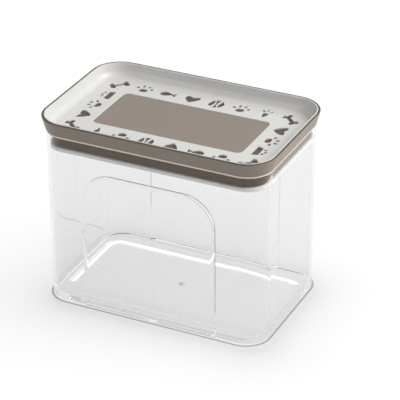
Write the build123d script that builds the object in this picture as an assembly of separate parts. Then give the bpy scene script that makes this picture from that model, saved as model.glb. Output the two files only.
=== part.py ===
"""Pet treat container: a clear moulded box and a two-colour lid with a seal, which lifts straight off.

Millimetres, +Z up. The origin is on the table under the middle of the box, and X runs along its long side.
Every outline of the box, the lid, the plug and the seal is the same rounded rectangle, drawn in or grown.
"""
import os

from build123d import *

# Clear box: outside sizes at the rim, and how far each side draws in down to the foot
BOX_LENGTH = 179.0
BOX_WIDTH = 112.6
BOX_HEIGHT = 138.5
BOX_CORNER = 19.5
BOX_DRAFT = 0.4
BOX_WALL = 2.2
BOX_FLOOR = 3.6
FOOT_BEVEL = 1.3
FLOOR_ROUND = 5.0
RIM_BEVEL = 0.5

# Underside: a flat ring to stand on, then a slope up to a shallow recess with the moulding gate in its middle
STAND_RING = 8.5
RECESS_SLOPE = 6.5
RECESS_DEPTH = 1.4
GATE_DIAMETER = 4.6
GATE_DEPTH = 0.8

# Arched panel that stands out from the front wall and from the back wall
PANEL_WIDTH = 107.6
PANEL_TOP = 115.0
PANEL_CORNER = 25.0
PANEL_PROUD = 1.6
PANEL_EDGE = 3.2

# Lid flange: stands on the rim and flares out to its top edge
LID_HEIGHT = 11.0
LID_STEP = 0.6
LID_FLARE = 2.9
LID_EDGE_BEVEL = 0.4

# White dish inside the flange, its window and the pad of the frame that fills the window
RIM_WIDTH = 1.6
TRAY_RIM = 1.4
DISH_DEPTH = 9.5
DISH_ROUND = 5.5
TRAY_FLOOR = 1.2
WINDOW_LENGTH = 120.0
WINDOW_WIDTH = 54.0
WINDOW_CORNER = 4.5
PAD_FIT = 0.15
PAD_SINK = 0.3

# Plug under the lid: a skirt that hangs in the box, with a groove for the seal
LID_PLATE = 2.0
PLUG_GAP = 2.2
PLUG_WALL = 2.4
PLUG_DEPTH = 14.1
PLUG_LIP = 1.0
GROOVE_DEPTH = 1.0

# Seal: a soft ring that fills the groove and reaches to just short of the wall
SEAL_HEIGHT = 3.0
SEAL_FIT = 0.3
SEAL_BEVEL = 0.8

LID_TOP = BOX_HEIGHT + LID_HEIGHT
DISH_FLOOR = LID_TOP - DISH_DEPTH
TRAY_UNDERSIDE = DISH_FLOOR - TRAY_FLOOR
# Bevel under the tray: flat, and just touching the round that would give the tray an even wall
TRAY_BEVEL = (2 - 2**0.5) * (DISH_ROUND + TRAY_FLOOR)
PLUG_FOOT = BOX_HEIGHT - PLUG_DEPTH
SEAL_FOOT = PLUG_FOOT + PLUG_LIP
SEAL_TOP = SEAL_FOOT + SEAL_HEIGHT


def outline(height, inset):
    """Rounded rectangle at a height: the outside of the box's rim, drawn in by an inset."""
    length = BOX_LENGTH - 2 * inset
    width = BOX_WIDTH - 2 * inset
    return Pos(0, 0, height) * RectangleRounded(length, width, BOX_CORNER - inset)


def box_outline(height, inset):
    """Outline that follows the box's drafted wall."""
    return outline(height, inset + BOX_DRAFT * (1 - height / BOX_HEIGHT))


def lid_outline(height, inset):
    """Outline that follows the lid's flared flange."""
    return outline(height, inset - LID_STEP - LID_FLARE * (height - BOX_HEIGHT) / LID_HEIGHT)


def stack(sections):
    """Solid with straight sides through outlines given from the bottom up."""
    return loft(sections, ruled=True)


def lowest_edges(solid):
    """Edges round the lowest face."""
    return solid.faces().sort_by(Axis.Z)[0].edges()


def highest_edges(solid):
    """Edges round the highest face."""
    return solid.faces().sort_by(Axis.Z)[-1].edges()


def arch(width, top, corner):
    """Upright panel outline: square where it meets the table, round at its two upper corners."""
    plate = Rectangle(width, top, align=(Align.CENTER, Align.MIN))
    return fillet(plate.vertices().group_by(Axis.Y)[-1], corner)


def front_panel():
    """Panel with a sloping edge, on the plane of the front wall's foot and sunk half into that wall."""
    wall_plane = BOX_WIDTH / 2 - BOX_DRAFT
    base = arch(PANEL_WIDTH, PANEL_TOP, PANEL_CORNER)
    face = arch(PANEL_WIDTH - 2 * PANEL_EDGE, PANEL_TOP - PANEL_EDGE, PANEL_CORNER - PANEL_EDGE)
    root = extrude(Plane.XZ.offset(wall_plane) * base, amount=-BOX_WALL / 2)
    raised = loft([Plane.XZ.offset(wall_plane) * base, Plane.XZ.offset(wall_plane + PANEL_PROUD) * face], ruled=True)
    return root + raised


def make_container():
    """Clear box with its two panels, hollow above the floor and recessed below it."""
    shell = stack([box_outline(0, 0), box_outline(BOX_HEIGHT, 0)])
    shell = chamfer(lowest_edges(shell), FOOT_BEVEL)
    panel = front_panel()
    shell = shell + panel + mirror(panel, about=Plane.XZ)
    hollow = stack([box_outline(BOX_FLOOR, BOX_WALL), box_outline(BOX_HEIGHT, BOX_WALL)])
    hollow = fillet(lowest_edges(hollow), FLOOR_ROUND)
    mouth = stack([
        box_outline(BOX_HEIGHT - RIM_BEVEL, BOX_WALL),
        box_outline(BOX_HEIGHT, BOX_WALL - RIM_BEVEL),
    ])
    recess = stack([
        box_outline(0, STAND_RING),
        box_outline(RECESS_DEPTH, STAND_RING + RECESS_SLOPE),
    ])
    gate = Pos(0, 0, RECESS_DEPTH) * Cylinder(
        GATE_DIAMETER / 2, GATE_DEPTH, align=(Align.CENTER, Align.CENTER, Align.MIN)
    )
    return shell - hollow - mouth - recess - gate


def tray_blank():
    """Outside of the tray, which is also the hollow that it lies in: flared, with a bevelled foot."""
    blank = stack([lid_outline(TRAY_UNDERSIDE, RIM_WIDTH), lid_outline(LID_TOP, RIM_WIDTH)])
    return chamfer(lowest_edges(blank), TRAY_BEVEL)


def dish():
    """Inside of the tray: flared, with a rounded foot."""
    inset = RIM_WIDTH + TRAY_RIM
    hollow = stack([lid_outline(DISH_FLOOR, inset), lid_outline(LID_TOP, inset)])
    return fillet(lowest_edges(hollow), DISH_ROUND)


def window(height, fit, thickness):
    """Rounded block that fills the dish's window, smaller than it by a fit all round."""
    face = RectangleRounded(WINDOW_LENGTH - 2 * fit, WINDOW_WIDTH - 2 * fit, WINDOW_CORNER - fit)
    return extrude(Pos(0, 0, height) * face, amount=thickness)


def make_lid_frame():
    """Flared flange, plate, pad and plug skirt, in one moulding."""
    flange = stack([lid_outline(BOX_HEIGHT, 0), lid_outline(LID_TOP, 0)])
    flange = chamfer(highest_edges(flange), LID_EDGE_BEVEL)
    inset = BOX_WALL + PLUG_GAP
    plug = stack([box_outline(PLUG_FOOT, inset), box_outline(BOX_HEIGHT, inset)])
    plate_underside = TRAY_UNDERSIDE - LID_PLATE
    hollow = stack([
        box_outline(PLUG_FOOT, inset + PLUG_WALL),
        box_outline(plate_underside, inset + PLUG_WALL),
    ])
    groove = stack([box_outline(SEAL_FOOT, 0), box_outline(SEAL_TOP, 0)])
    groove = groove - stack([
        box_outline(SEAL_FOOT, inset + GROOVE_DEPTH),
        box_outline(SEAL_TOP, inset + GROOVE_DEPTH),
    ])
    pad = window(TRAY_UNDERSIDE, PAD_FIT, TRAY_FLOOR - PAD_SINK)
    return flange + plug - tray_blank() - hollow - groove + pad


def make_lid_tray():
    """White dish that lies in the frame, with a window for the pad."""
    return tray_blank() - dish() - window(TRAY_UNDERSIDE, 0, TRAY_FLOOR)


def make_seal_ring():
    """Soft ring: square in the groove, bevelled where it nears the wall."""
    reach = BOX_WALL + SEAL_FIT
    ring = stack([
        box_outline(SEAL_FOOT, reach + SEAL_BEVEL),
        box_outline(SEAL_FOOT + SEAL_BEVEL, reach),
        box_outline(SEAL_TOP - SEAL_BEVEL, reach),
        box_outline(SEAL_TOP, reach + SEAL_BEVEL),
    ])
    seat = BOX_WALL + PLUG_GAP + GROOVE_DEPTH
    return ring - stack([box_outline(SEAL_FOOT, seat), box_outline(SEAL_TOP, seat)])


PARTS = {
    "container": make_container,
    "lid_frame": make_lid_frame,
    "lid_tray": make_lid_tray,
    "seal_ring": make_seal_ring,
}

os.makedirs("parts", exist_ok=True)
for name, make in PARTS.items():
    export_step(make(), f"parts/{name}.step")
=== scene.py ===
"""Pet treat container: a clear moulded box and a taupe and white lid with a seal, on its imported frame."""

from math import cos, exp, pi, radians, sin, tan

import bpy
import numpy as np
from mathutils import Matrix, Vector
from mathutils.geometry import delaunay_2d_cdt


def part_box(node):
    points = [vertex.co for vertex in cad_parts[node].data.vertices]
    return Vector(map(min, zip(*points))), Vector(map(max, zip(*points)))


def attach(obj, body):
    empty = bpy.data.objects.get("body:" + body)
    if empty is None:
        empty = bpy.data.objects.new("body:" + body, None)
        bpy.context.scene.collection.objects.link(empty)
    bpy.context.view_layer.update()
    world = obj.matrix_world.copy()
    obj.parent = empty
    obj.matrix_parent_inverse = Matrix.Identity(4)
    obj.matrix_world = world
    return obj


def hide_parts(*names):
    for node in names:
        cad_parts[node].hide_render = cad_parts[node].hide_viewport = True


bl_info = {
    "name": "Treat Container",
    "version": (1, 0, 0),
    "blender": (4, 5, 0),
    "location": "3D View > Sidebar > Treat Container",
    "description": "Builds a clear treat container with a two-colour lid and its photo stage",
    "category": "Object",
}

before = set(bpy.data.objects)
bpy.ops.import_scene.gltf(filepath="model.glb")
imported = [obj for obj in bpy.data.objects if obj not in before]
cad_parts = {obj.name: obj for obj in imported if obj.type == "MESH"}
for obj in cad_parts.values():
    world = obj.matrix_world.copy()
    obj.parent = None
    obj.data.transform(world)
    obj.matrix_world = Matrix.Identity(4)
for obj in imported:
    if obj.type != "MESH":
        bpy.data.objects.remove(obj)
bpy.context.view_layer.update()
MM = 0.001

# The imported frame's own sizes: the box's rim, the lid's top, the plug's foot and the seal
BOX_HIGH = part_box("container")[1]
PLUG_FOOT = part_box("lid_frame")[0].z
TRAY_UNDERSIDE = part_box("lid_tray")[0].z
SEAL_LOW, SEAL_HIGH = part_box("seal_ring")
RIM_HEIGHT = BOX_HIGH.z
LID_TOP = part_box("lid_frame")[1].z

# Width of the box at its rim, as far past the seal as its ends are: its own node also holds the two panels
BOX_WIDTH = SEAL_HIGH.y * 2 + BOX_HIGH.x * 2 - SEAL_HIGH.x * 2


def size(label, text, millimetres):
    """A length that a user may change, in millimetres here and in metres in the scene."""
    return bpy.props.FloatProperty(
        name=label, description=text, default=millimetres * MM, unit="LENGTH", precision=4
    )


def linear(hex_colour):
    """Linear red, green and blue of an sRGB hex colour."""
    values = [int(hex_colour[i:i + 2], 16) / 255 for i in (1, 3, 5)]
    return [v / 12.92 if v <= 0.04045 else ((v + 0.055) / 1.055) ** 2.4 for v in values]


def colour(label, text, hex_colour):
    """A colour that a user may change, from its sRGB hex value."""
    return bpy.props.FloatVectorProperty(
        name=label, description=text, default=linear(hex_colour), subtype="COLOR", min=0, max=1
    )


def share(label, text, value):
    """A share from 0 to 1 that a user may change."""
    return bpy.props.FloatProperty(
        name=label, description=text, default=value, min=0, max=1, precision=3, subtype="FACTOR"
    )


def strength(label, text, value):
    """A brightness or darkness that a user may change."""
    return bpy.props.FloatProperty(name=label, description=text, default=value, min=0, precision=3)


def power(label, text, watts):
    """A lamp's power that a user may change."""
    return bpy.props.FloatProperty(name=label, description=text, default=watts, min=0, unit="POWER")


def spot(label, text, metres):
    """A place that a user may change, in metres."""
    return bpy.props.FloatVectorProperty(
        name=label, description=text, default=metres, subtype="XYZ", unit="LENGTH"
    )


def angle(label, text, degrees):
    """An angle that a user may change, in degrees here and in radians in the scene."""
    return bpy.props.FloatProperty(name=label, description=text, default=radians(degrees), subtype="ANGLE")


class ClearBoxLook(bpy.types.PropertyGroup):
    """Sizes and colour of the clear box."""

    corner: size("Corner", "Radius of the upright corners at the rim", 19.5)
    draft: size("Draft", "How far each side draws in from the rim to the foot", 0.4)
    wall: size("Wall", "Thickness of the walls", 2.2)
    floor: size("Floor", "Height of the inside floor", 3.6)
    foot_round: size("Foot round", "Rounding under the outer walls", 1.8)
    floor_round: size("Floor round", "Rounding between inner walls and floor", 5.0)
    rim_round: size("Rim round", "Rounding on the rim", 0.7)
    # The band's pale cream finish is a painted glow for the light that the rim's edge catches
    rim_glow_band: size("Rim band", "Height of the frosted band at the rim", 1.4)
    stand_ring: size("Stand ring", "Width of the flat ring that the box stands on, at its two ends", 7.2)
    ring_extra: size("Ring extra", "How much wider that ring is along the long sides", 8.0)
    recess_slope: size("Recess slope", "Width of the slope up to the recessed underside", 7.6)
    recess_depth: size("Recess depth", "How far the underside is recessed", 1.7)
    gate_radius: size("Gate radius", "Radius of the moulding gate's dimple", 2.3)
    gate_depth: size("Gate depth", "Depth of the moulding gate's dimple", 0.8)
    panel_width: size("Panel width", "Width of the raised front panel", 107.6)
    panel_top: size("Panel top", "Height of the raised panel's arched top", 115.0)
    panel_corner: size("Panel corner", "Radius of the panel's two upper corners", 25.0)
    panel_edge: size("Panel edge", "Width of the panel's rounded edge", 4.0)
    tint: colour("Tint", "Colour of the clear plastic", "#F3F3F3")
    shade: colour("Shade", "Colour of the light that falls through one surface of it", "#FCFCFC")
    led: share("Led", "Share of light left at each surface on a long way through the floor", 0.9)
    ended: share("Ended", "Share of light left where it is led on inside the walls", 0.15)


class LidLook(bpy.types.PropertyGroup):
    """Sizes and colours of the lid."""

    step: size("Step", "How far the flange stands out past the rim", 0.6)
    flare: size("Flare", "How far the flange leans out to its top", 2.9)
    edge_round: size("Edge round", "Rounding on the flange's top edge", 0.85)
    rim_width: size("Rim width", "Width of the taupe edge round the dish", 1.6)
    tray_rim: size("Tray rim", "Width of the white edge inside it", 1.4)
    seam: size("Seam", "Open seam between the taupe edge and the white one", 0.3)
    dish_round: size("Dish round", "Rounding between the dish's wall and floor", 5.5)
    tray_floor: size("Tray floor", "Thickness of the white dish's floor", 1.2)
    window_length: size("Window length", "Length of the rectangle of taupe", 120.0)
    window_width: size("Window width", "Width of the rectangle of taupe", 54.0)
    window_corner: size("Window corner", "Corner radius of the rectangle of taupe", 4.5)
    pad_fit: size("Pad fit", "Gap between the pad and the window", 0.15)
    pad_sink: size("Pad sink", "How far the pad lies under the dish's floor", 0.3)
    plate: size("Plate", "Thickness of the plate under the dish", 2.0)
    plug_gap: size("Plug gap", "Gap between the plug and the box's wall", 2.2)
    plug_wall: size("Plug wall", "Thickness of the plug's skirt", 2.4)
    groove_depth: size("Groove depth", "Depth of the groove for the seal", 1.0)
    icon_size: size("Icon size", "Length of one treat or toy figure in the dish", 15.0)
    taupe: colour("Taupe", "Colour of the frame and its pad", "#8C8075")
    # The plug's colour is the taupe painted darker with the shade under the flange and behind the clear wall
    plug: colour("Plug", "Colour of the smooth plug under the lid", "#5F4932")
    # The edge's colour is the taupe painted darker with the shade along the top edge and in the figures'
    # cut-outs; the taupe under the figures is real, its darker tone there is painted shade
    edge: colour("Edge", "Colour of the frame's top edge and of what shows through the figures", "#62564B")
    white: colour("White", "Colour of the dish", "#DFDEDB")


class SealLook(bpy.types.PropertyGroup):
    """Sizes and colour of the seal."""

    lip_round: size("Lip round", "Rounding of the lip that nears the wall", 0.6)
    milk: colour("Milk", "Colour of the clouded silicone", "#F8F6F3")


class StageLook(bpy.types.PropertyGroup):
    """Floor, light and camera."""

    floor_colour: colour("Floor", "Colour of the floor", "#FCFCFC")
    shadow: share("Shadow", "How much of the light and shade on the floor the camera sees", 0.15)
    sky_dim: strength("Dim sky", "Strength of the sky opposite the lamp", 0.08)
    sky_bright: strength("Bright sky", "Strength of the sky round the lamp", 0.4)
    floor_glow: strength("Floor glow", "Brightness of the floor that is seen, before its shade", 1.085)
    contact: share("Contact", "Extra shade on the floor close round the box", 0.27)
    contact_reach: size("Contact reach", "How far the extra shade reaches", 28.0)
    contact_line: strength("Contact line", "Dark line along the foot, in parts of the extra shade", 1.5)
    under: share("Under", "Share of the extra shade that lies under the box", 0.72)
    world: strength("World", "Brightness of the studio, as glass sees it", 0.85)
    strip: strength("Strip", "Brightness of the strip half way up the studio's walls", 1.45)
    key_power: power("Key power", "Power of the big soft lamp", 20.0)
    fill_power: power("Fill power", "Power of the wide dim lamp opposite it", 4.5)
    key_place: spot("Key place", "Middle of the big soft lamp", (1.0, 0.45, 1.05))
    fill_place: spot("Fill place", "Middle of the wide dim lamp", (-0.75, -1.5, 1.0))
    lens: bpy.props.FloatProperty(
        name="Lens", description="Focal length on a 36 mm sensor", default=181.33, unit="CAMERA"
    )
    azimuth: angle("Azimuth", "Turn of the camera round the box", 25.772)
    elevation: angle("Elevation", "Height of the camera over the floor as an angle", 28.688)
    roll: angle("Roll", "Roll of the camera", -0.301)
    distance: size("Distance", "From the camera to the point that it looks at", 1514.26)
    target: spot("Target", "Point that the camera looks at", (0.00780, 0.01460, 0.06979))


# Shapes

# Angle between two faces past which their edge is shown as sharp
CREASE = radians(38)


def rounded_rectangle(length, width, corner, along=(0.004, 0.996), across=(0.008, 0.992), steps=20):
    """Points and outward normals of a rounded rectangle, anticlockwise from the left end of its front side.

    A corner is its centre plus the radius times (cos t, sin t). A side is divided at the given shares of its
    length.
    """
    run, depth = length / 2 - corner, width / 2 - corner
    centres = [(run, -depth), (run, depth), (-run, depth), (-run, -depth)]
    points, normals = [], []
    for k, centre in enumerate(centres):
        start = np.array(centres[k - 1])
        side = np.array(along if k % 2 == 0 else across)[:, None]
        turn = -pi / 2 + k * pi / 2
        facing = np.array([cos(turn), sin(turn)])
        points.append(start + (np.array(centre) - start) * side + corner * facing)
        normals.append(np.tile(facing, (len(side), 1)))
        t = turn + np.linspace(0, pi / 2, steps + 1)[:, None]
        arc = np.hstack([np.cos(t), np.sin(t)])
        points.append(np.array(centre) + corner * arc)
        normals.append(arc)
    return np.vstack(points), np.vstack(normals)


def rounded_line(corners, closed=False, steps=7, guard=0.35 * MM):
    """Line through (across, up, radius) corners, each replaced by the arc that touches both its sides.

    The arc starts radius / tan(half the angle) from the corner. Its points are its centre plus a spoke that
    turns evenly from one touching point to the other. Each straight run gets a guard point near both ends.
    """
    corners = [np.array(c, float) for c in corners]
    line = []
    for k, (x, y, radius) in enumerate(corners):
        here = np.array([x, y])
        if radius == 0 or (not closed and k in (0, len(corners) - 1)):
            line.append(here[None])
            continue
        before = corners[k - 1][:2] - here
        after = corners[(k + 1) % len(corners)][:2] - here
        before, after = before / np.hypot(*before), after / np.hypot(*after)
        half = np.arccos(np.clip(before @ after, -1, 1)) / 2
        middle = here + (before + after) / np.hypot(*(before + after)) * radius / sin(half)
        first, last = (here + side * radius / tan(half) - middle for side in (before, after))
        sweep = pi - 2 * half
        s = np.linspace(0, 1, steps + 1)[:, None]
        line.append(middle + (np.sin((1 - s) * sweep) * first + np.sin(s * sweep) * last) / sin(sweep))
    line = np.vstack(line)
    following = np.roll(line, -1, axis=0) if closed else line[1:]
    leaving = line if closed else line[:-1]
    gap = following - leaving
    reach = np.hypot(gap[:, 0], gap[:, 1])
    shift = gap / np.maximum(reach, 1e-9)[:, None] * guard
    at = np.flatnonzero(reach > 5 * guard)
    extra = np.stack([leaving[at] + shift[at], following[at] - shift[at]], axis=1).reshape(-1, 2)
    return np.insert(line, np.repeat(at + 1, 2), extra, axis=0)


def carried(outline, profile):
    """Carries a profile round an outline.

    Vertex (i, j) is the outline's point i, drawn in along its normal by the profile's inset j, at height j.
    """
    points, normals = outline
    flat = points[:, None] - normals[:, None] * profile[None, :, :1]
    heights = np.broadcast_to(profile[None, :, 1:], flat.shape[:2] + (1,))
    return np.concatenate([flat, heights], axis=2)


def grid_quads(across, along, closed_along=False, first=0):
    """Quads of a grid that closes round its first parameter, and round its second where asked."""
    i, j = np.meshgrid(np.arange(across), np.arange(along if closed_along else along - 1), indexing="ij")
    next_i, next_j = (i + 1) % across, (j + 1) % along
    corners = (i * along + j, next_i * along + j, next_i * along + next_j, i * along + next_j)
    return first + np.stack(corners, axis=-1).reshape(-1, 4)


def capped_faces(grid):
    """Faces of a grid that closes round its first parameter, with a flat cap on its first and last ring."""
    across, along = grid.shape[:2]
    first_ring = np.arange(across) * along
    caps = [first_ring[::-1].tolist(), (first_ring + along - 1).tolist()]
    return grid_quads(across, along).tolist() + caps


def add_piece(name, vertices, faces, node, body, material, others=()):
    """Adds a mesh that stands for a node of the frame, rides on its body and takes its finish from a slot.

    Each of the others is a material and a test of the faces' middles: the faces that pass it wear it.
    """
    mesh = bpy.data.meshes.new(name)
    mesh.from_pydata(vertices.reshape(-1, 3).tolist(), [], faces)
    if mesh.validate():
        raise RuntimeError(f"{name} has faces that can't be used")
    mesh.shade_smooth()
    mesh.set_sharp_from_angle(angle=CREASE)
    mesh.materials.append(material)
    middles = np.empty(len(mesh.polygons) * 3)
    mesh.polygons.foreach_get("center", middles)
    worn = np.zeros(len(mesh.polygons), np.int32)
    for number, (other, test) in enumerate(others, 1):
        mesh.materials.append(other)
        worn[test(*middles.reshape(-1, 3).T)] = number
    mesh.polygons.foreach_set("material_index", worn)
    piece = bpy.data.objects.new(name, mesh)
    bpy.context.scene.collection.objects.link(piece)
    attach(piece, body)
    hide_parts(node)
    return piece


def box_outline(box, **shares):
    """Outline of the box at its rim, which every other outline is drawn in or grown from."""
    return rounded_rectangle(BOX_HIGH.x * 2, BOX_WIDTH, box.corner, **shares)


def box_inset(box, inset, height):
    """Inset of a point that follows the box's drafted wall."""
    return inset + box.draft * (1 - height / RIM_HEIGHT)


def lid_inset(lid, inset, height):
    """Inset of a point that follows the flared flange."""
    return inset - lid.step - lid.flare * (height - RIM_HEIGHT) / (LID_TOP - RIM_HEIGHT)


def shoulder(t, riser):
    """0 up to t = 0, then a jump to the riser and a soft rise: riser + (1 - riser) * (1 - (1 - t)^2)."""
    return np.where(t < 1e-4, 0, riser + (1 - riser) * (1 - (1 - np.clip(t, 0, 1)) ** 2))


def arch_stations(box):
    """Distances of grid lines past the centre of the arch's corner.

    They are fine on its rounded edge and just outside it. Inside the edge they lie at the corner's radius
    times tan a, with a in even steps.
    """
    flat = box.panel_corner - box.panel_edge
    inner = box.panel_corner * np.tan(np.linspace(0, pi / 4, 13))
    inner = inner[inner < flat - 0.8 * MM]
    edge = np.concatenate([box.panel_edge * np.linspace(1, 0.02, 8), [0.02 * MM, -0.03 * MM]])
    guards = np.array([-0.1, -0.6, -3, -8]) * MM
    return np.concatenate([inner, [flat - 0.4 * MM], box.panel_corner - edge, box.panel_corner - guards])


def bend_to_arch(box, x, z):
    """Bends grid lines past the centre of the arch's corner into quarter circles, then to straight again.

    A point (u, v) past the centre goes to (u, v) times max(u, v) / |(u, v)|, which turns squares into
    circles, and that fades out over 8 mm outside the arch.
    """
    fade = 8 * MM
    middle_x, middle_z = box.panel_width / 2 - box.panel_corner, box.panel_top - box.panel_corner
    u, v = np.abs(x) - middle_x, z - middle_z
    reach = np.maximum(u, v)
    turn = reach / np.maximum(np.hypot(u, v), 1e-9)
    straight = np.clip((reach - box.panel_corner) / fade, 0, 1)
    factor = np.where((u > 0) & (v > 0), turn + (1 - turn) * straight, 1)
    bent_x = np.sign(x) * (middle_x + u * factor)
    return np.where(u > 0, bent_x, x), np.where(v > 0, middle_z + v * factor, z)


def panel_share(box, x, z):
    """How far up the panel's edge a point of the wall lies, from 0 on the wall to 1 on the panel.

    The distance inside the arch is its corner radius less the length of (x, z) past the corner's centre, and
    that distance over the edge's width gives the height on its shoulder. The shoulder's riser is high along
    the straight edges and low round the corners.
    """
    low_riser, more_riser = 0.25, 0.35
    past_x = np.abs(x) - (box.panel_width / 2 - box.panel_corner)
    past_z = z - (box.panel_top - box.panel_corner)
    within = np.minimum(np.maximum(past_x, past_z), 0)
    outside = np.hypot(np.maximum(past_x, 0), np.maximum(past_z, 0)) + within
    straight = 1 - np.clip(3 * np.minimum(past_x, past_z) / box.panel_corner, 0, 1)
    return shoulder((box.panel_corner - outside) / box.panel_edge, low_riser + more_riser * straight)


def clear_box_grid(box):
    """Vertices and faces of the clear box: one grid from the gate's dimple underneath to the floor inside.

    The profile goes out along the underside, up the outer wall, over the rim, down the inner wall and in
    along the floor. The two panels are a relief on the outer wall: the grid's lines bend along the arch's
    corners, and y grows by the way to the panel's plane times panel_share.
    """
    # The grid's columns and rows are coarse inside the panel and fine along its edge
    run = BOX_HIGH.x - box.corner
    past = arch_stations(box)
    columns = np.concatenate([
        [0, 14 * MM], box.panel_width / 2 - box.panel_corner + past, [run - 0.5 * MM],
    ])
    columns = np.concatenate([-columns[:0:-1], columns])
    outline = box_outline(box, along=(columns + run) / (2 * run), across=(0.007, 0.2, 0.5, 0.8, 0.993))
    rows = np.concatenate([np.array([10, 30, 50, 70]) * MM, box.panel_top - box.panel_corner + past])

    far = box.stand_ring + box.recess_slope
    slope_round = 3 * MM
    underside = [
        (far + 3 * MM, box.recess_depth, 0), (far, box.recess_depth, slope_round),
        (box.stand_ring, 0, slope_round),
    ]
    heights = (*rows, RIM_HEIGHT - box.rim_glow_band)
    wall = [(0, 0, box.foot_round), *((0, z, 0) for z in heights), (0, RIM_HEIGHT, box.rim_round)]
    inside = [
        (box.wall, RIM_HEIGHT, box.rim_round), (box.wall, box.floor, box.floor_round), (far, box.floor, 0),
    ]
    profile = rounded_line([(box_inset(box, a, z), z, r) for a, z, r in underside + wall + inside])
    grid = carried(outline, profile)

    # The recess is narrowed in y, so that the ring round it is wider along the long sides
    on_floor = np.flatnonzero(profile[:, 1] < 0.01 * MM)[0]
    grid[:, :on_floor + 1, 1] *= 1 - box.ring_extra / (BOX_WIDTH / 2 - box.stand_ring)

    # The panels, on the part of the profile from the flat of the foot to just under the rim
    outer = (profile[:, 0] < box.foot_round + box.draft + 0.01 * MM) & (profile[:, 1] < RIM_HEIGHT - 3 * MM)
    facing = outline[1][:, 1]
    front_or_back = np.abs(facing) > 0.999
    relief = front_or_back[:, None] & outer[None]
    x, z = bend_to_arch(box, grid[:, :, 0], grid[:, :, 2])
    lean = box.draft * (z - grid[:, :, 2]) / RIM_HEIGHT
    rise = BOX_HIGH.y - (BOX_WIDTH / 2 - box_inset(box, 0, z))
    raised = np.sign(facing)[:, None] * (lean + rise * panel_share(box, x, z))
    grid[:, :, 1] += np.where(relief, raised, 0)
    grid[:, :, 0], grid[:, :, 2] = np.where(relief, x, grid[:, :, 0]), np.where(relief, z, grid[:, :, 2])

    # The dimple: radius and height follow a quarter of a squared-off ellipse, on the spokes of the first ring
    t = np.linspace(0.06, 1, 11) * pi / 2
    radii = np.concatenate([box.gate_radius * np.sin(t) ** 0.5, [box.gate_radius + 0.3 * MM, 15 * MM]])
    dip = np.concatenate([box.gate_depth * np.maximum(np.cos(t), 0) ** 0.5, [0, 0]])
    spokes = grid[:, 0, :2] / np.linalg.norm(grid[:, 0, :2], axis=1)[:, None]
    rings = spokes[:, None] * radii[None, :, None]
    levels = np.broadcast_to((box.recess_depth + dip)[None, :, None], rings.shape[:2] + (1,))
    grid = np.concatenate([np.concatenate([rings, levels], axis=2), grid], axis=1)
    return grid, capped_faces(grid)


def lid_frame_grid(box, lid):
    """Vertices and faces of the taupe frame: one grid from under its plate, round the plug, to the pad.

    The profile goes down inside the skirt, up outside it past the groove, out and up the flange, over its
    edge, down the hollow for the dish and in along the plate. The last rings are the pad's own outline.
    """
    gap = box.wall + lid.plug_gap
    skirt = gap + lid.plug_wall
    plate_low = TRAY_UNDERSIDE - lid.plate
    groove = gap + lid.groove_depth
    lower = [
        (skirt + 6 * MM, plate_low, 0), (skirt, plate_low, 1.2 * MM), (skirt, PLUG_FOOT, 0.6 * MM),
        (gap, PLUG_FOOT, 0.5 * MM), (gap, SEAL_LOW.z, 0.2 * MM), (groove, SEAL_LOW.z, 0),
        (groove, SEAL_HIGH.z, 0), (gap, SEAL_HIGH.z, 0.2 * MM), (gap, RIM_HEIGHT, 0.3 * MM),
    ]
    hollow_round = lid.dish_round + lid.tray_floor
    upper = [
        (0, RIM_HEIGHT, 0.5 * MM), (0, LID_TOP, lid.edge_round), (lid.rim_width, LID_TOP, 0.6 * MM),
        (lid.rim_width, TRAY_UNDERSIDE, hollow_round), (lid.rim_width + 13 * MM, TRAY_UNDERSIDE, 0),
    ]
    low_corners = [(box_inset(box, a, z), z, r) for a, z, r in lower]
    high_corners = [(lid_inset(lid, a, z), z, r) for a, z, r in upper]
    body = carried(box_outline(box), rounded_line(low_corners + high_corners))
    fit = lid.pad_fit
    pad_outline = rounded_rectangle(
        lid.window_length - 2 * fit, lid.window_width - 2 * fit, lid.window_corner - fit
    )
    pad_top = TRAY_UNDERSIDE + lid.tray_floor - lid.pad_sink
    pad_corners = [(0, TRAY_UNDERSIDE, 0), (0, pad_top, 0.25 * MM), (1.5 * MM, pad_top, 0)]
    grid = np.concatenate([body, carried(pad_outline, rounded_line(pad_corners))], axis=1)
    return grid, capped_faces(grid)


def skirt_faces(box, lid):
    """Test for the outside of the plug's skirt, by the distance past the centres of the box's corners."""
    hollow_corner = box.corner - box.wall - lid.plug_gap - lid.plug_wall

    def is_skirt(x, y, z):
        past_x = np.maximum(np.abs(x) - (BOX_HIGH.x - box.corner), 0)
        past_y = np.maximum(np.abs(y) - (BOX_WIDTH / 2 - box.corner), 0)
        return (z < RIM_HEIGHT - 0.1 * MM) & (np.hypot(past_x, past_y) > hollow_corner + 0.2 * MM)

    return is_skirt


def ellipse(x, y, half_width, half_height, turn=0.0, count=40):
    """Loop (x, y) + turned (a cos t, b sin t)."""
    t = np.linspace(0, 2 * pi, count, endpoint=False)
    a, b = half_width * np.cos(t), half_height * np.sin(t)
    return np.column_stack([x + a * cos(turn) - b * sin(turn), y + a * sin(turn) + b * cos(turn)])


def rounded_loop(*corners):
    """Closed loop through (x, y, radius) corners, anticlockwise."""
    return rounded_line(corners, closed=True, steps=6, guard=0.3)


def bone_figure():
    """Bone lying down: a shaft between four knobs.

    A knob is an arc of radius 1.75 round (4.5, 1.55) or its mirror image.
    """
    t = np.radians(np.linspace(-48, 190, 26))
    knob = np.column_stack([4.5 + 1.75 * np.cos(t), 1.55 + 1.75 * np.sin(t)])
    other = knob[::-1] * (-1, 1)
    return [np.vstack([knob, other, -knob, -other])]


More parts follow.
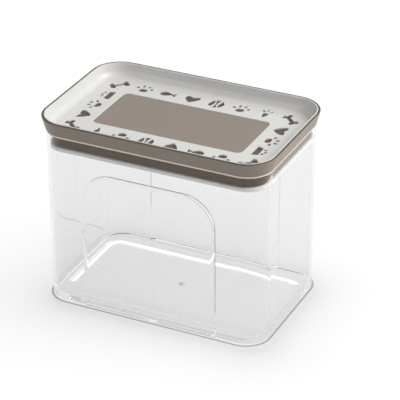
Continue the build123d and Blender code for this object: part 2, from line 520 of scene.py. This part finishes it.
def paw_figure():
    """Paw print: a pad with a flat foot, and four toes on an arc of radius 4.9 above it."""
    t = np.linspace(0, 2 * pi, 60, endpoint=False)
    pad_x = 2.9 * np.cos(t) * (1 - 0.18 * np.sin(t))
    pad_y = -1.5 + 2.1 * np.sin(t) + 0.35 * np.cos(2 * t)
    toes = []
    for way in (24, 69, 111, 156):
        x, y = 4.9 * cos(radians(way)), -1.2 + 4.9 * sin(radians(way))
        toes.append(ellipse(x, y, 1.0, 1.4, radians(way - 90)))
    return [np.column_stack([pad_x, pad_y])] + toes


def fish_figure():
    """Fish with a forked tail, in one outline."""
    return [rounded_loop(
        (-6.2, 0, 1.6), (-2.2, -3.5, 3.0), (2.8, -0.5, 1.2), (5.9, -3.0, 0.6),
        (5.0, 0, 0.8), (5.9, 3.0, 0.6), (2.8, 0.5, 1.2), (-2.2, 3.5, 3.0),
    )]


def heart_figure():
    """Heart: x = 4.9 cos t and y = 3.4 sin t + 4.2 (cos^2 t + 0.02)^0.35 - 2.4, which dips at its top."""
    t = np.linspace(0, 2 * pi, 80, endpoint=False)
    y = 3.4 * np.sin(t) + 4.2 * (np.cos(t) ** 2 + 0.02) ** 0.35 - 2.4
    return [np.column_stack([4.9 * np.cos(t), y])]


def ball_figure():
    """Ball in three parts, parted by two curved seams."""
    t = np.linspace(-pi / 3.2, pi / 3.2, 24)
    seam = np.linspace(1, -1, 16)[1:-1]
    side = np.column_stack([4.9 * np.cos(t), 4.9 * np.sin(t)])
    inner = np.column_stack([2.35 - 1.0 * (1 - seam ** 2), 4.0 * seam])
    right = np.vstack([side, inner])
    t = np.linspace(pi / 2.55, pi - pi / 2.55, 14)
    top = np.column_stack([4.9 * np.cos(t), 4.9 * np.sin(t)])
    left_seam = np.column_stack([-1.6 + 1.0 * (1 - seam ** 2), 4.0 * seam])
    right_seam = np.column_stack([1.6 - 1.0 * (1 - seam ** 2), 4.0 * seam])[::-1]
    middle = np.vstack([top, left_seam, -top, right_seam])
    return [right, middle, -right]


def bowl_figure():
    """Food bowl with three pieces of food over it."""
    bowl = rounded_loop((-4.4, 0.2, 0.7), (-5.6, -4.0, 0.7), (5.6, -4.0, 0.7), (4.4, 0.2, 0.7))
    return [bowl, ellipse(-2.6, 1.9, 1.05, 0.95), ellipse(0, 2.9, 1.1, 1.0), ellipse(2.6, 1.9, 1.05, 0.95)]


def carrot_figure():
    """Carrot: a tapered root under three leaves."""
    root = rounded_loop((0, -5.6, 0.7), (2.6, 1.2, 1.3), (-2.6, 1.2, 1.3))
    leaves = [ellipse(3.0 * sin(a), 1.4 + 3.2 * cos(a), 0.65, 1.5, -a, 32) for a in (-0.9, 0, 0.9)]
    return [root] + leaves


def figure_places():
    """Each figure with its place in the dish, in millimetres, and its turn.

    Its top points away from the middle of the side that it is on, and a bone lies at each corner.
    """
    long_row = [paw_figure, fish_figure, heart_figure, ball_figure, paw_figure, carrot_figure]
    long_start, long_step, long_side = -50, 20, 38.5
    short_row = [heart_figure, paw_figure, bowl_figure]
    short_start, short_step, short_side = 18, -18, 71.5
    corner_x, corner_y = 70.5, 37.5
    places = []
    for sign, turn in ((1, 0.0), (-1, pi)):
        for k, figure in enumerate(long_row):
            places.append((figure, sign * (long_start + long_step * k), sign * long_side, turn))
        for k, figure in enumerate(short_row):
            places.append((figure, sign * short_side, sign * (short_start + short_step * k), turn - pi / 2))
        for x in (-1, 1):
            places.append((bone_figure, sign * x * corner_x, sign * corner_y, turn - x * pi / 4))
    return places


def figure_loops(lid):
    """Loops of every figure, in metres, anticlockwise and in place, each with its outward normals."""
    drawn_size = 12.0
    scale = lid.icon_size / drawn_size
    loops = []
    for figure, x, y, turn in figure_places():
        spin = np.array([[cos(turn), sin(turn)], [-sin(turn), cos(turn)]])
        for loop in figure():
            loop = (loop @ spin) * scale + np.array([x, y]) * MM
            ahead, behind = np.roll(loop, -1, axis=0), np.roll(loop, 1, axis=0)
            if np.sum(loop[:, 0] * ahead[:, 1] - loop[:, 1] * ahead[:, 0]) < 0:
                loop, ahead, behind = loop[::-1], behind[::-1], ahead[::-1]
            along = ahead - behind
            across = np.column_stack([along[:, 1], -along[:, 0]])
            loops.append((loop, across / np.hypot(along[:, 0], along[:, 1])[:, None]))
    return loops


def sheet_triangles(outer, holes):
    """Triangles, as vertex numbers, between an outer loop and the holes in it.

    Each loop is its points and their vertex numbers.
    """
    loops = [outer] + holes
    points = [Vector(p) for p in np.vstack([p for p, _ in loops]).tolist()]
    numbers = np.concatenate([n for _, n in loops])
    counts = np.cumsum([0] + [len(p) for p, _ in loops])
    borders = [list(range(a, b)) for a, b in zip(counts[:-1], counts[1:])]
    # Output type 2 leaves out what lies in the holes
    _, _, triangles, sources, _, _ = delaunay_2d_cdt(points, [], borders, 2, 1e-7)
    back = np.array([s[0] for s in sources])
    return numbers[back[np.array(triangles)]]


def lid_tray_grid(box, lid):
    """Vertices and faces of the white dish: a grid round its rim and walls, and a floor with figures cut out.

    The grid's profile starts on the underside, goes up the outer wall, over the rim, down the dish's wall and
    in to the floor. Between its last ring and the window lies a flat sheet with the figures' loops as holes,
    and the same sheet lies underneath. A hole's wall goes down from a bevelled edge.
    """
    inner = lid.rim_width + lid.tray_rim
    floor = TRAY_UNDERSIDE + lid.tray_floor
    hollow_round = lid.dish_round + lid.tray_floor
    corners = [
        (lid.rim_width + hollow_round + 1 * MM, TRAY_UNDERSIDE, 0),
        (lid.rim_width, TRAY_UNDERSIDE, hollow_round),
        (lid.rim_width, LID_TOP - 2.2 * MM, 0), (lid.rim_width + lid.seam, LID_TOP - 2 * MM, 0),
        (lid.rim_width + lid.seam, LID_TOP, 0.3 * MM), (inner, LID_TOP, 0.5 * MM),
        (inner, floor, lid.dish_round), (inner + lid.dish_round + 1 * MM, floor, 0),
    ]
    profile = rounded_line([(lid_inset(lid, a, z), z, r) for a, z, r in corners])
    grid = carried(box_outline(box), profile)
    across, along = grid.shape[:2]
    vertices, faces = [grid.reshape(-1, 3)], grid_quads(across, along).tolist()
    ring = np.arange(across) * along
    total = across * along

    window = rounded_rectangle(lid.window_length, lid.window_width, lid.window_corner)
    window_bevel, figure_bevel = 0.25 * MM, 0.18 * MM
    holes_above, holes_below = [], []
    for k, (loop, normal) in enumerate([window] + figure_loops(lid)):
        bevel = window_bevel if k == 0 else figure_bevel
        levels = ((bevel, floor), (0.0, floor - bevel), (0.0, TRAY_UNDERSIDE))
        rings = [np.column_stack([loop + normal * out, np.full(len(loop), z)]) for out, z in levels]
        wall = np.stack(rings, axis=1)
        vertices.append(wall.reshape(-1, 3))
        # An anticlockwise hole's wall, from its top down, faces into the hole
        faces += grid_quads(len(loop), 3, first=total).tolist()
        numbers = total + np.arange(len(loop)) * 3
        holes_above.append((wall[:, 0, :2], numbers))
        holes_below.append((wall[:, 2, :2], numbers + 2))
        total += len(loop) * 3
    faces += sheet_triangles((grid[:, -1, :2], ring + along - 1), holes_above).tolist()
    faces += sheet_triangles((grid[:, 0, :2], ring), holes_below)[:, ::-1].tolist()
    return np.vstack(vertices), faces


def seal_grid(box, lid, seal):
    """Vertices and faces of the seal: a closed profile, with a round lip towards the wall, round the plug."""
    seat = box.wall + lid.plug_gap + lid.groove_depth
    reach = BOX_HIGH.x - SEAL_HIGH.x - box.draft * (1 - SEAL_HIGH.z / RIM_HEIGHT)
    low, high = SEAL_LOW.z, SEAL_HIGH.z
    corners = [
        (seat, low, 0.15 * MM), (reach, low, seal.lip_round), (reach, high, seal.lip_round),
        (seat, high, 0.15 * MM),
    ]
    profile = rounded_line([(box_inset(box, a, z), z, r) for a, z, r in corners], closed=True)
    grid = carried(box_outline(box), profile)
    return grid, grid_quads(*grid.shape[:2], closed_along=True).tolist()


# Materials

# Typical index of refraction of SAN, and the height of every fine grain
SAN_IOR = 1.57
GRAIN_HEIGHT = 0.1 * MM


def add_node(tree, kind, inputs=None, **settings):
    """Adds a node, sets its settings and fills its inputs with values or links from other nodes' outputs."""
    node = tree.nodes.new(kind)
    for name, value in settings.items():
        setattr(node, name, value)
    for name, value in (inputs or {}).items():
        if isinstance(value, bpy.types.NodeSocket):
            tree.links.new(value, node.inputs[name])
        else:
            node.inputs[name].default_value = value
    return node


def new_material(name):
    """A material, its empty node tree, and the coordinates that its patterns read."""
    material = bpy.data.materials.new(name)
    material.use_nodes = True
    tree = material.node_tree
    tree.nodes.clear()
    place = add_node(tree, "ShaderNodeTexCoord").outputs["Object"]
    return material, tree, place


def rgba(values):
    """A colour with full alpha."""
    return (*values, 1.0)


def clear_moulding(box):
    """Clear SAN, injection moulded: hard, glossy and almost without colour, so that mostly its edges show.

    It bends light as real SAN does. Shadow and diffuse rays go straight through, so that the floor inside is
    lit evenly. Light that total reflection would lead on through foot and floor leaves them after three
    turns, or after two at the front and the right end, and so does light that has turned four times low in
    either end. It keeps the share box.led at each surface, but box.shade in the foot at the back and the
    left, where its way is short: painted light, by zones fixed in the box, that makes the foot's bands
    bright at the back and left and grey at the front and right. Other light that has turned four times
    keeps the share box.ended, which paints the dark lines of the panels.
    """
    material, tree, place = new_material("SAN_Clear_Moulded")
    plastic = add_node(tree, "ShaderNodeBsdfPrincipled", {
        "Base Color": rgba(box.tint), "Transmission Weight": 1.0, "IOR": SAN_IOR, "Roughness": 0.0,
        "Specular Tint": rgba([0.5] * 3),
    })
    path = add_node(tree, "ShaderNodeLightPath")
    at = add_node(tree, "ShaderNodeSeparateXYZ", {0: place})
    values = {socket.name: socket for socket in (*path.outputs, *at.outputs)}
    # Each row names a value, the operation that gives it, and the values and numbers that it works on
    rows = (
        ("straight", "MAXIMUM", "Is Shadow Ray", "Is Diffuse Ray"),
        ("turns", "SUBTRACT", "Ray Depth", "Transmission Depth"),
        # These zones are fixed in the box and paint the foot's bands: grey at the front and right end, bright
        # at the back and left
        # The front and the right end up to its back corner, where one turn fewer is enough
        ("right", "GREATER_THAN", "X", 68 * MM),
        ("short of the back", "LESS_THAN", "Y", 37 * MM),
        ("right end", "MULTIPLY", "right", "short of the back"),
        ("front", "LESS_THAN", "Y", -42 * MM),
        ("facing", "MAXIMUM", "right end", "front"),
        ("counted turns", "ADD", "turns", "facing"),
        ("enough turns", "GREATER_THAN", "counted turns", 2.5),
        # The back and the left end without their outermost corners, where the foot counts as 13 mm higher
        ("back", "GREATER_THAN", "Y", 30 * MM),
        ("left", "LESS_THAN", "X", -70 * MM),
        ("back or left", "MAXIMUM", "back", "left"),
        ("short of the front", "GREATER_THAN", "Y", -48 * MM),
        ("far side", "MULTIPLY", "back or left", "short of the front"),
        ("short of the right", "LESS_THAN", "X", 79 * MM),
        ("far side", "MULTIPLY", "far side", "short of the right"),
        ("foot height", "MULTIPLY_ADD", "far side", 13 * MM, 12 * MM),
        ("in the foot", "LESS_THAN", "Z", "foot height"),
        ("led out", "MULTIPLY", "enough turns", "in the foot"),
        # The lower part of both ends
        ("last turn", "GREATER_THAN", "turns", 3.5),
        ("across", "ABSOLUTE", "X"),
        ("at an end", "GREATER_THAN", "across", 60 * MM),
        ("low", "LESS_THAN", "Z", 60 * MM),
        ("low at an end", "MULTIPLY", "at an end", "low"),
        ("led up", "MULTIPLY", "last turn", "low at an end"),
        ("leaves", "MAXIMUM", "led out", "led up"),
        ("ends", "GREATER_THAN", "last turn", "leaves"),
        ("in the floor", "LESS_THAN", "Z", 12 * MM),
        # Painted light: the foot at the back and left keeps more light than at the front and right, so its
        # bands show bright
        ("painted bright foot", "MULTIPLY", "far side", "in the floor"),
        ("straight", "MAXIMUM", "straight", "leaves"),
        ("straight", "MAXIMUM", "straight", "ends"),
    )
    for name, operation, *works_on in rows:
        inputs = {k: values.get(value, value) for k, value in enumerate(works_on)}
        values[name] = add_node(tree, "ShaderNodeMath", inputs, operation=operation).outputs[0]
    led = add_node(tree, "ShaderNodeMix", {
        "Factor": values["painted bright foot"], "A": rgba([box.led] * 3), "B": rgba(box.shade),
    }, data_type="RGBA")
    passed = add_node(tree, "ShaderNodeMix", {
        "Factor": values["leaves"], "A": rgba(box.shade), "B": led.outputs["Result"],
    }, data_type="RGBA")
    # Painted dark lines: light that has turned four times elsewhere is darkened to box.ended along the panels
    passed = add_node(tree, "ShaderNodeMix", {
        "Factor": values["ends"], "A": passed.outputs["Result"], "B": rgba([box.ended] * 3),
    }, data_type="RGBA")
    through = add_node(tree, "ShaderNodeBsdfTransparent", {"Color": passed.outputs["Result"]})
    mix = add_node(tree, "ShaderNodeMixShader", {
        0: values["straight"], 1: plastic.outputs[0], 2: through.outputs[0],
    })
    add_node(tree, "ShaderNodeOutputMaterial", {"Surface": mix.outputs[0]})
    return material


def rough_san(name, base, clear, roughness, grains, bump_strength):
    """The same SAN where the mould's polished steel didn't shape its skin, so that it scatters light.

    The parting line leaves the rim matt; its pale cream colour is a painted glow, standing for the light that
    the rim's edge catches. The runner that was broken off leaves the gate's dimple torn, so that it looks a
    little grey. The grain is given as grains to the millimetre.
    """
    material, tree, place = new_material(name)
    torn = add_node(tree, "ShaderNodeTexNoise", {"Vector": place, "Scale": grains / MM, "Detail": 2.0})
    bump = add_node(tree, "ShaderNodeBump", {
        "Strength": bump_strength, "Distance": GRAIN_HEIGHT, "Height": torn.outputs["Fac"],
    })
    plastic = add_node(tree, "ShaderNodeBsdfPrincipled", {
        "Base Color": rgba(linear(base)), "Transmission Weight": clear, "IOR": SAN_IOR,
        "Roughness": roughness, "Normal": bump.outputs["Normal"],
    })
    add_node(tree, "ShaderNodeOutputMaterial", {"Surface": plastic.outputs[0]})
    return material


def satin_moulding(name, base, spread, roughness, grain, bump_strength, gloss_level=0.5):
    """Polypropylene moulded in a finely etched tool: satin, with a fine even grain and very faint clouds.

    The etched grain is given in millimetres. The clouds are flow marks 29 mm wide, which change the tone by
    the spread and the roughness a little.
    """
    cloud_width, roughness_spread = 1 / 34, 0.03
    material, tree, place = new_material(name)
    clouds = add_node(tree, "ShaderNodeTexNoise", {
        "Vector": place, "Scale": 1 / cloud_width, "Detail": 2.0, "Roughness": 0.5,
    })
    tone = add_node(tree, "ShaderNodeMix", {
        "Factor": clouds.outputs["Fac"], "A": rgba([c * (1 - spread) for c in base]),
        "B": rgba([min(1.0, c * (1 + spread)) for c in base]),
    }, data_type="RGBA")
    etched = add_node(tree, "ShaderNodeTexNoise", {"Vector": place, "Scale": 1 / (grain * MM), "Detail": 2.0})
    bump = add_node(tree, "ShaderNodeBump", {
        "Strength": bump_strength, "Distance": GRAIN_HEIGHT, "Height": etched.outputs["Fac"],
    })
    gloss = add_node(tree, "ShaderNodeMapRange", {
        "Value": clouds.outputs["Fac"],
        "To Min": roughness - roughness_spread, "To Max": roughness + roughness_spread,
    })
    plastic = add_node(tree, "ShaderNodeBsdfPrincipled", {
        "Base Color": tone.outputs["Result"], "IOR": 1.49, "Roughness": gloss.outputs["Result"],
        "Specular IOR Level": gloss_level, "Normal": bump.outputs["Normal"],
    })
    add_node(tree, "ShaderNodeOutputMaterial", {"Surface": plastic.outputs[0]})
    return material


def clouded_silicone(seal):
    """Silicone, compression moulded: soft, milky and a little see-through, with a dull surface.

    Its dusty grain is about 0.8 mm wide, coarser than the real one, so that it shows.
    """
    material, tree, place = new_material("Silicone_Clouded")
    dust = add_node(tree, "ShaderNodeTexNoise", {"Vector": place, "Scale": 1.2 / MM, "Detail": 2.0})
    bump = add_node(tree, "ShaderNodeBump", {
        "Strength": 0.15, "Distance": GRAIN_HEIGHT, "Height": dust.outputs["Fac"],
    })
    rubber = add_node(tree, "ShaderNodeBsdfPrincipled", {
        "Base Color": rgba(seal.milk), "IOR": 1.41, "Roughness": 0.45, "Subsurface Weight": 0.25,
        "Subsurface Radius": (1.0, 0.9, 0.8), "Subsurface Scale": 1.5 * MM, "Normal": bump.outputs["Normal"],
    })
    add_node(tree, "ShaderNodeOutputMaterial", {"Surface": rubber.outputs[0]})
    return material


# Operators


class TREAT_OT_clear_box(bpy.types.Operator):
    """Builds the clear box with its two arched panels, foot ring and gate mark."""

    bl_idname = "treat.clear_box"
    bl_label = "Clear Box"

    def execute(self, context):
        box = context.scene.treat_box
        vertices, faces = clear_box_grid(box)
        # Painted glow: the rim's band is a matt, pale cream SAN that stands for the light its edge catches
        frosted = rough_san("SAN_Frosted_Rim_Painted_Glow", "#F4EBDF", 0.05, 0.4, 1.5, 0.2)
        scar = rough_san("SAN_Gate_Scar", "#C9C8C6", 0.7, 0.35, 2.5, 0.3)
        others = [
            (frosted, lambda x, y, z: z > RIM_HEIGHT - box.rim_glow_band),
            (scar, lambda x, y, z: (np.hypot(x, y) < box.gate_radius) & (z < box.floor - 0.1 * MM)),
        ]
        clear = clear_moulding(box)
        add_piece("Clear_Box", vertices, faces, "container", "container", clear, others)
        return {"FINISHED"}


class TREAT_OT_lid_frame(bpy.types.Operator):
    """Builds the taupe frame of the lid: flange, plate, pad and plug."""

    bl_idname = "treat.lid_frame"
    bl_label = "Lid Frame"

    def execute(self, context):
        box, lid = context.scene.treat_box, context.scene.treat_lid
        vertices, faces = lid_frame_grid(box, lid)
        # Plug and edge are the same moulding where its tool is smoother. Their deeper colours are painted
        # shade: the plug's for the shade under the flange and behind the clear wall, the edge's for the shade
        # along the top edge and down in the figures' cut-outs
        taupe = satin_moulding("Polypropylene_Taupe_Satin", lid.taupe, 0.03, 0.42, 0.4, 0.25)
        plug = satin_moulding("Polypropylene_Taupe_Plug_Painted_Shade", lid.plug, 0.03, 0.35, 0.3, 0.1, 0.15)
        edge = satin_moulding("Polypropylene_Taupe_Edge_Painted_Shade", lid.edge, 0.03, 0.35, 0.3, 0.1, 0.15)
        # Painted shade: the band along the top edge and the plate's floor under the figures' cut-outs wear
        # the darker edge taupe
        shaded_top_band = 0.45 * MM
        others = [
            (plug, skirt_faces(box, lid)),
            (edge, lambda x, y, z: (np.abs(z - TRAY_UNDERSIDE) < 0.005 * MM) | (z > LID_TOP - shaded_top_band)),
        ]
        add_piece("Taupe_Lid_Frame", vertices, faces, "lid_frame", "lid", taupe, others)
        return {"FINISHED"}


class TREAT_OT_lid_tray(bpy.types.Operator):
    """Builds the white dish of the lid with its window and its cut-out figures."""

    bl_idname = "treat.lid_tray"
    bl_label = "Lid Tray"

    def execute(self, context):
        lid = context.scene.treat_lid
        vertices, faces = lid_tray_grid(context.scene.treat_box, lid)
        white = satin_moulding("Polypropylene_White_Gloss", lid.white, 0.01, 0.24, 0.5, 0.08)
        add_piece("White_Lid_Tray", vertices, faces, "lid_tray", "lid", white)
        return {"FINISHED"}


class TREAT_OT_seal(bpy.types.Operator):
    """Builds the silicone seal in the plug's groove."""

    bl_idname = "treat.seal"
    bl_label = "Seal"

    def execute(self, context):
        scene = context.scene
        vertices, faces = seal_grid(scene.treat_box, scene.treat_lid, scene.treat_seal)
        silicone = clouded_silicone(scene.treat_seal)
        add_piece("Seal_Ring", vertices, faces, "seal_ring", "lid", silicone)
        return {"FINISHED"}


class TREAT_OT_stage(bpy.types.Operator):
    """Sets the pale floor, the soft light and the camera."""

    bl_idname = "treat.stage"
    bl_label = "Stage"

    def execute(self, context):
        scene = context.scene
        look = scene.treat_stage
        self.add_floor(look)
        self.light_world(scene, look)
        self.add_lamps(scene, look)
        self.add_camera(scene, look)
        scene.view_settings.view_transform = "Standard"
        return {"FINISHED"}

    def add_floor(self, look):
        """Matt white sweep, just under the box's foot."""
        mesh = bpy.data.meshes.new("Floor")
        half, low = 4.0, -0.2 * MM
        corners = [(-half, -half, low), (half, -half, low), (half, half, low), (-half, half, low)]
        mesh.from_pydata(corners, [], [(0, 1, 2, 3)])
        material, tree, place = new_material("Paper_White_Sweep")
        paper = add_node(tree, "ShaderNodeBsdfDiffuse", {"Color": rgba(look.floor_colour)})
        glow = add_node(tree, "ShaderNodeEmission", {
            "Color": rgba([1] * 3), "Strength": self.near_shade(tree, place, look),
        })
        softened = add_node(tree, "ShaderNodeMixShader", {
            0: look.shadow, 1: glow.outputs[0], 2: paper.outputs[0],
        })
        lifted = add_node(tree, "ShaderNodeMixShader", {
            0: self.seen(tree), 1: paper.outputs[0], 2: softened.outputs[0],
        })
        add_node(tree, "ShaderNodeOutputMaterial", {"Surface": lifted.outputs[0]})
        mesh.materials.append(material)
        floor = bpy.data.objects.new("Floor", mesh)
        bpy.context.scene.collection.objects.link(floor)

    def near_shade(self, tree, place, look):
        """Floor glow times 1 - contact * (shade + line).

        The shade is exp(-(d / reach)^0.75), with d the distance outside the box's footprint, which is moved
        6 mm to the right and 8 mm to the front. Under the box it is a fixed share. The line runs along the
        foot, and shows only where the camera looks straight at the floor.
        """
        shift, fade_power = (-6 * MM, 8 * MM, 0), 0.75
        line_out, line_solid, line_end = 0.1 * MM, 0.6 * MM, 1.1 * MM
        box = bpy.context.scene.treat_box
        half = Vector((BOX_HIGH.x - box.corner, BOX_WIDTH / 2 - box.corner, 1.0))
        foot = Vector((half.x, BOX_HIGH.y - box.corner, 1.0))
        moved = add_node(tree, "ShaderNodeVectorMath", {0: place, 1: shift}, operation="ADD")
        distances = []
        for start, extent in ((moved.outputs[0], half), (place, half), (place, foot)):
            steps = (("ABSOLUTE", ()), ("SUBTRACT", (extent,)), ("MAXIMUM", ((0, 0, 0),)), ("LENGTH", ()))
            for operation, other in steps:
                inputs = dict(enumerate((start, *other)))
                outputs = add_node(tree, "ShaderNodeVectorMath", inputs, operation=operation).outputs
                start = outputs["Value" if operation == "LENGTH" else "Vector"]
            distances.append(start)
        from_shade, from_box, from_foot = distances
        far = add_node(tree, "ShaderNodeMapRange", {
            "Value": from_shade, "From Min": box.corner, "From Max": box.corner + look.contact_reach,
        }, clamp=False)
        fall = add_node(tree, "ShaderNodeMath", {0: far.outputs["Result"], 1: 0.0}, operation="MAXIMUM")
        bent = add_node(tree, "ShaderNodeMath", {0: fall.outputs[0], 1: fade_power}, operation="POWER")
        faded = add_node(tree, "ShaderNodeMath", {0: exp(-1), 1: bent.outputs[0]}, operation="POWER")
        under = add_node(tree, "ShaderNodeMath", {0: from_box, 1: box.corner - 1 * MM}, operation="LESS_THAN")
        shade = add_node(tree, "ShaderNodeMix", {0: under.outputs[0], "A": faded.outputs[0], "B": look.under})
        line_radius = box.corner + line_out
        away = add_node(tree, "ShaderNodeMath", {0: from_foot, 1: line_radius}, operation="SUBTRACT")
        apart = add_node(tree, "ShaderNodeMath", {0: away.outputs[0]}, operation="ABSOLUTE")
        line = add_node(tree, "ShaderNodeMapRange", {
            "Value": apart.outputs[0], "From Min": line_solid, "From Max": line_end,
            "To Min": look.contact_line, "To Max": 0.0,
        })
        direct = add_node(tree, "ShaderNodeLightPath").outputs["Is Camera Ray"]
        both = add_node(tree, "ShaderNodeMath", {
            0: line.outputs["Result"], 1: direct, 2: shade.outputs["Result"],
        }, operation="MULTIPLY_ADD")
        left = add_node(tree, "ShaderNodeMath", {
            0: both.outputs[0], 1: -look.contact * look.floor_glow, 2: look.floor_glow,
        }, operation="MULTIPLY_ADD")
        return left.outputs[0]

    def seen(self, tree):
        """1 where the camera, gloss or glass looks, and 0 for the light that falls on the box."""
        path = add_node(tree, "ShaderNodeLightPath").outputs
        looks = path["Is Camera Ray"]
        for rays in ("Is Glossy Ray", "Is Transmission Ray"):
            either = add_node(tree, "ShaderNodeMath", {0: looks, 1: path[rays]}, operation="MAXIMUM")
            looks = either.outputs[0]
        return looks

    def light_world(self, scene, look):
        """Soft light from the lamp's side, dimmer opposite it.

        Camera, gloss and glass see a pale studio instead, with a brighter strip round its walls. It lies
        where the height of the way out, as a share of its length, is within 0.09 of 0.55, and fades out by
        0.12.
        """
        opposite, near_lamp = -0.4, 0.9
        strip_height, strip_solid, strip_end = 0.55, 0.09, 0.12
        world = bpy.data.worlds.new("White_Studio")
        scene.world = world
        world.use_nodes = True
        tree = world.node_tree
        tree.nodes.clear()
        way = add_node(tree, "ShaderNodeTexCoord").outputs["Generated"]
        side = add_node(tree, "ShaderNodeVectorMath", {
            0: way, 1: Vector(look.key_place).normalized(),
        }, operation="DOT_PRODUCT")
        dim = add_node(tree, "ShaderNodeMapRange", {
            "Value": side.outputs["Value"], "From Min": opposite, "From Max": near_lamp,
            "To Min": look.sky_dim, "To Max": look.sky_bright,
        })
        height = add_node(tree, "ShaderNodeSeparateXYZ", {0: way}).outputs["Z"]
        above = add_node(tree, "ShaderNodeMath", {0: height, 1: strip_height}, operation="SUBTRACT")
        apart = add_node(tree, "ShaderNodeMath", {0: above.outputs[0]}, operation="ABSOLUTE")
        glow = add_node(tree, "ShaderNodeMapRange", {
            "Value": apart.outputs[0], "From Min": strip_solid, "From Max": strip_end,
            "To Min": look.strip, "To Max": look.world,
        })
        lit, studio = (
            add_node(tree, "ShaderNodeBackground", {
                "Color": rgba([1] * 3), "Strength": light.outputs["Result"],
            }).outputs[0]
            for light in (dim, glow)
        )
        mix = add_node(tree, "ShaderNodeMixShader", {0: self.seen(tree), 1: lit, 2: studio})
        add_node(tree, "ShaderNodeOutputWorld", {"Surface": mix.outputs[0]})

    def add_lamps(self, scene, look):
        """A big soft lamp to the right and behind, and a wide dim one in front on the left."""
        middle = Vector((0, 0, 0.1))
        lamps = (
            ("Key", look.key_place, look.key_power, 1.1, 1.1),
            ("Fill", look.fill_place, look.fill_power, 1.1, 0.75),
        )
        for name, place, power, across, high in lamps:
            lamp = bpy.data.lights.new(name, "AREA")
            lamp.shape = "RECTANGLE"
            lamp.size, lamp.size_y = across, high
            lamp.energy = power
            softbox = bpy.data.objects.new(name, lamp)
            softbox.location = place
            softbox.visible_transmission = False
            softbox.rotation_euler = (middle - Vector(place)).to_track_quat("-Z", "Y").to_euler()
            scene.collection.objects.link(softbox)

    def add_camera(self, scene, look):
        """Camera at the photograph's angle.

        back is the way from the target to the camera, and roll turns its right and up.
        """
        lens = bpy.data.cameras.new("Camera")
        lens.lens, lens.sensor_width = look.lens, 36.0
        lens.clip_start, lens.clip_end = 0.05, 50.0
        a, e, r = look.azimuth, look.elevation, look.roll
        back = Vector((sin(a) * cos(e), -cos(a) * cos(e), sin(e)))
        right = Vector((cos(a), sin(a), 0.0))
        up = back.cross(right)
        right, up = right * cos(r) + up * sin(r), up * cos(r) - right * sin(r)
        camera = bpy.data.objects.new("Camera", lens)
        camera.matrix_world = Matrix((right, up, back)).transposed().to_4x4()
        camera.location = Vector(look.target) + back * look.distance
        scene.collection.objects.link(camera)
        scene.camera = camera


class TREAT_PT_panel(bpy.types.Panel):
    """Sidebar panel with the pieces of the container and its stage."""

    bl_idname = "TREAT_PT_panel"
    bl_label = "Treat Container"
    bl_space_type = "VIEW_3D"
    bl_region_type = "UI"
    bl_category = "Treat Container"

    def draw(self, context):
        for operator in OPERATORS:
            self.layout.operator(operator.bl_idname)


OPERATORS = (TREAT_OT_clear_box, TREAT_OT_lid_frame, TREAT_OT_lid_tray, TREAT_OT_seal, TREAT_OT_stage)
LOOKS = {"treat_box": ClearBoxLook, "treat_lid": LidLook, "treat_seal": SealLook, "treat_stage": StageLook}


def register():
    """Registers the looks, the operators and the panel."""
    for kind in (*LOOKS.values(), *OPERATORS, TREAT_PT_panel):
        bpy.utils.register_class(kind)
    for name, look in LOOKS.items():
        setattr(bpy.types.Scene, name, bpy.props.PointerProperty(type=look))


def unregister():
    """Takes out what register put in."""
    for name in LOOKS:
        delattr(bpy.types.Scene, name)
    for kind in reversed((*LOOKS.values(), *OPERATORS, TREAT_PT_panel)):
        bpy.utils.unregister_class(kind)


def main():
    """Builds every piece and the stage."""
    register()
    bpy.ops.treat.stage()
    bpy.ops.treat.clear_box()
    bpy.ops.treat.lid_frame()
    bpy.ops.treat.lid_tray()
    bpy.ops.treat.seal()


if __name__ == "__main__":
    main()
